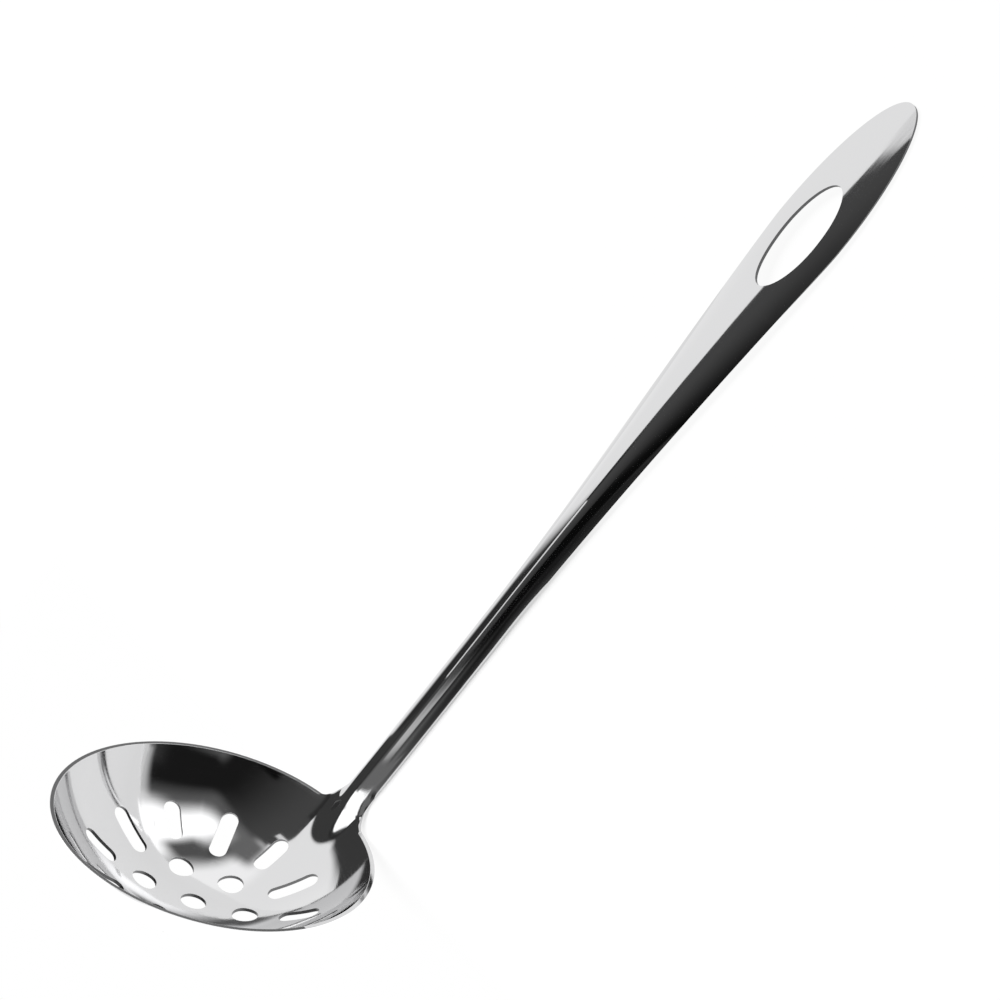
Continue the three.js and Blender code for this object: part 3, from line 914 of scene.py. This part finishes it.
def panel_group():
    """Mask of one soft-edged panel between two corners, 1 inside it and 0 outside."""
    vector, value = "NodeSocketVector", "NodeSocketFloat"
    group, start, end = node_group(
        "Soft panel",
        (("Position", vector), ("Low", vector), ("High", vector), ("Softness", value)),
        (("Mask", value),))
    nodes, link = group.nodes, group.links.new
    sides = []
    for first, second in (("Position", "Low"), ("High", "Position")):
        inside = nodes.new("ShaderNodeVectorMath")
        inside.operation = "SUBTRACT"
        link(start.outputs[first], inside.inputs[0])
        link(start.outputs[second], inside.inputs[1])
        sides.append(inside.outputs["Vector"])
    nearest = nodes.new("ShaderNodeVectorMath")
    nearest.operation = "MINIMUM"
    link(sides[0], nearest.inputs[0])
    link(sides[1], nearest.inputs[1])
    apart = nodes.new("ShaderNodeSeparateXYZ")
    link(nearest.outputs["Vector"], apart.inputs["Vector"])
    minus = nodes.new("ShaderNodeMath")
    minus.operation = "MULTIPLY"
    minus.inputs[1].default_value = -1.0
    link(start.outputs["Softness"], minus.inputs[0])
    product = None
    for axis in "XYZ":
        fade = nodes.new("ShaderNodeMapRange")
        fade.interpolation_type = "SMOOTHSTEP"
        link(apart.outputs[axis], fade.inputs["Value"])
        link(minus.outputs["Value"], fade.inputs["From Min"])
        link(start.outputs["Softness"], fade.inputs["From Max"])
        if product is None:
            product = fade.outputs["Result"]
            continue
        times = nodes.new("ShaderNodeMath")
        times.operation = "MULTIPLY"
        link(product, times.inputs[0])
        link(fade.outputs["Result"], times.inputs[1])
        product = times.outputs["Value"]
    link(product, end.inputs["Mask"])
    return group


def panel_mask(tree, name, low, high, softness):
    """Mask of one panel on the material's own surface."""
    mask = tree.nodes.new("ShaderNodeGroup")
    mask.node_tree = bpy.data.node_groups["Soft panel"]
    mask.label = name
    tree.links.new(object_position(tree), mask.inputs["Position"])
    mask.inputs["Low"].default_value = low
    mask.inputs["High"].default_value = high
    mask.inputs["Softness"].default_value = softness
    return mask.outputs["Mask"]


def lay_panels(tree, panels, ground):
    """Brightness over a surface: the ground with the panels laid over it in turn."""
    level = None
    for name, (low, high, softness, brightness) in panels.items():
        over = tree.nodes.new("ShaderNodeMix")
        tree.links.new(panel_mask(tree, name, low, high, softness), over.inputs["Factor"])
        over.inputs["A"].default_value = ground
        if level:
            tree.links.new(level, over.inputs["A"])
        over.inputs["B"].default_value = brightness
        level = over.outputs["Result"]
    return level


def glow_material(name, brightness):
    """A surface that only glows, with its Emission node."""
    material = bpy.data.materials.new(name)
    material.use_nodes = True
    material.cycles.emission_sampling = "NONE"
    tree = material.node_tree
    tree.nodes.remove(tree.nodes["Principled BSDF"])
    glow = tree.nodes.new("ShaderNodeEmission")
    glow.inputs["Strength"].default_value = brightness
    tree.links.new(glow.outputs["Emission"], tree.nodes["Material Output"].inputs["Surface"])
    return material, glow


def lay_over(tree, below, above, mask):
    """Lays one shader over another where the mask says, on the surface."""
    both = tree.nodes.new("ShaderNodeMixShader")
    tree.links.new(mask, both.inputs["Fac"])
    tree.links.new(below.outputs[0], both.inputs[1])
    tree.links.new(above.outputs[0], both.inputs[2])
    tree.links.new(both.outputs["Shader"], tree.nodes["Material Output"].inputs["Surface"])


def tent_material(dark):
    """Glow of the light tent: dark cloth with the panels laid over it in turn."""
    material, glow = glow_material("light_tent", 1.0)
    tree = material.node_tree
    tree.links.new(lay_panels(tree, PANELS, dark), glow.inputs["Strength"])
    return material


def card_material(name, low, high, softness, brightness):
    """Glow of one card, fading out at its edges."""
    material, glow = glow_material(name, brightness)
    tree = material.node_tree
    clear = tree.nodes.new("ShaderNodeBsdfTransparent")
    lay_over(tree, clear, glow, panel_mask(tree, name, low, high, softness))
    return material


def seen_mask(tree):
    """1 for what the camera sees, directly, mirrored or through something; 0 for light on dull surfaces."""
    path = tree.nodes.new("ShaderNodeLightPath")
    total = path.outputs["Is Camera Ray"]
    for name in ("Is Glossy Ray", "Is Transmission Ray"):
        both = tree.nodes.new("ShaderNodeMath")
        both.operation = "ADD"
        both.use_clamp = True
        tree.links.new(total, both.inputs[0])
        tree.links.new(path.outputs[name], both.inputs[1])
        total = both.outputs["Value"]
    return total


def seen_level(tree, hidden, seen):
    """One level for what the camera sees, and another for light on dull surfaces."""
    level = tree.nodes.new("ShaderNodeMapRange")
    level.inputs["To Min"].default_value = hidden
    level.inputs["To Max"].default_value = seen
    tree.links.new(seen_mask(tree), level.inputs["Value"])
    return level.outputs["Result"]


def floor_material(tint, glow):
    """Matt white floor, with a little white added where it is seen, and plain white painted in the pools,
    which hides the ladle's shadow there.
    """
    material = bpy.data.materials.new("floor")
    material.use_nodes = True
    material.cycles.emission_sampling = "NONE"
    tree = material.node_tree
    shader = tree.nodes["Principled BSDF"]
    shader.inputs["Base Color"].default_value = (*tint, 1.0)
    shader.inputs["Roughness"].default_value = 1.0
    shader.inputs["Specular IOR Level"].default_value = 0.0
    shader.inputs["Emission Color"].default_value = (1.0, 1.0, 1.0, 1.0)
    tree.links.new(seen_level(tree, 0.0, glow), shader.inputs["Emission Strength"])
    # Painted light: plain white laid over the floor in the pools where it is seen, which hides the ladle's
    # shadow there.
    white = tree.nodes.new("ShaderNodeEmission")
    mask = tree.nodes.new("ShaderNodeMath")
    mask.operation = "MULTIPLY"
    tree.links.new(seen_mask(tree), mask.inputs[0])
    tree.links.new(lay_panels(tree, PAINTED_LIGHT_POOLS, 0.0), mask.inputs[1])
    lay_over(tree, shader, white, mask.outputs["Value"])
    return material


def new_box(low, high):
    """A box between two corners."""
    low, high = Vector(low), Vector(high)
    bm = bmesh.new()
    bmesh.ops.create_cube(bm, size=1.0)
    bmesh.ops.scale(bm, vec=high - low, verts=bm.verts[:])
    bmesh.ops.translate(bm, vec=(low + high) / 2, verts=bm.verts[:])
    bmesh.ops.recalc_face_normals(bm, faces=bm.faces[:])
    return bm


def add_stage(bm, name, material):
    mesh = bpy.data.meshes.new(name)
    bm.to_mesh(mesh)
    bm.free()
    mesh.materials.append(material)
    piece = bpy.data.objects.new(name, mesh)
    bpy.context.scene.collection.objects.link(piece)
    return piece


def set_camera(scene, stage):
    """Camera at its distance from the aim, leaning to its right."""
    camera = bpy.data.objects.new("camera", bpy.data.cameras.new("camera"))
    scene.collection.objects.link(camera)
    level = math.cos(stage.elevation)
    back = Vector((math.sin(stage.azimuth) * level, -math.cos(stage.azimuth) * level,
                   math.sin(stage.elevation)))
    camera.location = Vector(stage.aim) + back * stage.distance
    camera.rotation_mode = "QUATERNION"
    camera.rotation_quaternion = (-back).to_track_quat("-Z", "Y") @ Quaternion((0, 0, 1), -stage.roll)
    camera.data.lens = stage.lens
    camera.data.clip_end = 100.0
    scene.camera = camera


def hang_tent(stage):
    """The light tent, open below, and the cards, which only the metal mirrors."""
    panel_group()
    tent = new_box(stage.tent_low, stage.tent_high)
    open_side = [face for face in tent.faces if face.normal.z < -LEVEL]
    bmesh.ops.delete(tent, geom=open_side, context="FACES")
    mirrored = [add_stage(tent, "light_tent", tent_material(stage.tent_dark))]
    for name, (low, high, softness, brightness) in CARDS.items():
        low, high = Vector(low), Vector(high)
        wide = [span > CARD_THICKNESS for span in high - low]
        margin = Vector([softness if side else 0.0 for side in wide])
        reach = Vector([0.0 if side else OUT for side in wide])
        material = card_material(name, low - reach, high + reach, softness, brightness)
        mirrored.append(add_stage(new_box(low - margin, high + margin), name, material))
    for piece in mirrored:
        piece.visible_camera = False
        piece.visible_diffuse = False
        piece.visible_shadow = False


def lay_floor(stage):
    bm = bmesh.new()
    bmesh.ops.create_grid(bm, x_segments=1, y_segments=1, size=stage.floor_reach)
    add_stage(bm, "floor", floor_material(stage.floor, stage.floor_glow))


def set_light(scene, stage):
    """Soft light from behind, and soft light all round that shows as plain white."""
    key = bpy.data.objects.new("key", bpy.data.lights.new("key", "SUN"))
    scene.collection.objects.link(key)
    key.data.energy = stage.key
    key.data.angle = stage.key_spread
    key.rotation_mode = "QUATERNION"
    key.rotation_quaternion = Vector(stage.key_way).to_track_quat("-Z", "Y")
    key.visible_glossy = False

    world = bpy.data.worlds.new("studio")
    scene.world = world
    world.use_nodes = True
    tree = world.node_tree
    sky = tree.nodes["Background"]
    sky.inputs["Color"].default_value = (1.0, 1.0, 1.0, 1.0)
    tree.links.new(seen_level(tree, stage.light, 1.0), sky.inputs["Strength"])


class LADLE_OT_stage(bpy.types.Operator):
    """Set the camera, the floor and the light"""
    bl_idname = "ladle.stage"
    bl_label = "Stage"

    def execute(self, context):
        scene = context.scene
        stage = scene.ladle_stage
        scene.view_settings.view_transform = "Standard"
        set_camera(scene, stage)
        hang_tent(stage)
        lay_floor(stage)
        set_light(scene, stage)
        return {"FINISHED"}


class LADLE_PT_panel(bpy.types.Panel):
    """Buttons that make the ladle and its studio"""
    bl_idname = "LADLE_PT_panel"
    bl_label = "Sauce ladle"
    bl_space_type = "VIEW_3D"
    bl_region_type = "UI"
    bl_category = "Ladle"

    def draw(self, context):
        for operator in OPERATORS:
            self.layout.operator(operator.bl_idname)
        for name in GROUPS:
            box = self.layout.box()
            settings = getattr(context.scene, name)
            for key in settings.bl_rna.properties.keys():
                if key not in {"rna_type", "name"}:
                    box.prop(settings, key)


OPERATORS = (LADLE_OT_bowl, LADLE_OT_weld, LADLE_OT_handle, LADLE_OT_stage)
GROUPS = {
    "ladle_sheet": LadleSheet,
    "ladle_bowl": LadleBowl,
    "ladle_perforation": LadlePerforation,
    "ladle_neck": LadleNeck,
    "ladle_handle": LadleHandle,
    "ladle_finish": LadleFinish,
    "ladle_stage": LadleStage,
}


def register():
    for item in (*GROUPS.values(), *OPERATORS, LADLE_PT_panel):
        bpy.utils.register_class(item)
    for name, group in GROUPS.items():
        setattr(bpy.types.Scene, name, PointerProperty(type=group))


def unregister():
    for name in GROUPS:
        delattr(bpy.types.Scene, name)
    for item in reversed((*GROUPS.values(), *OPERATORS, LADLE_PT_panel)):
        bpy.utils.unregister_class(item)


def main():
    register()
    bpy.ops.ladle.bowl()
    bpy.ops.ladle.weld()
    bpy.ops.ladle.handle()
    bpy.ops.ladle.stage()


if __name__ == "__main__":
    main()
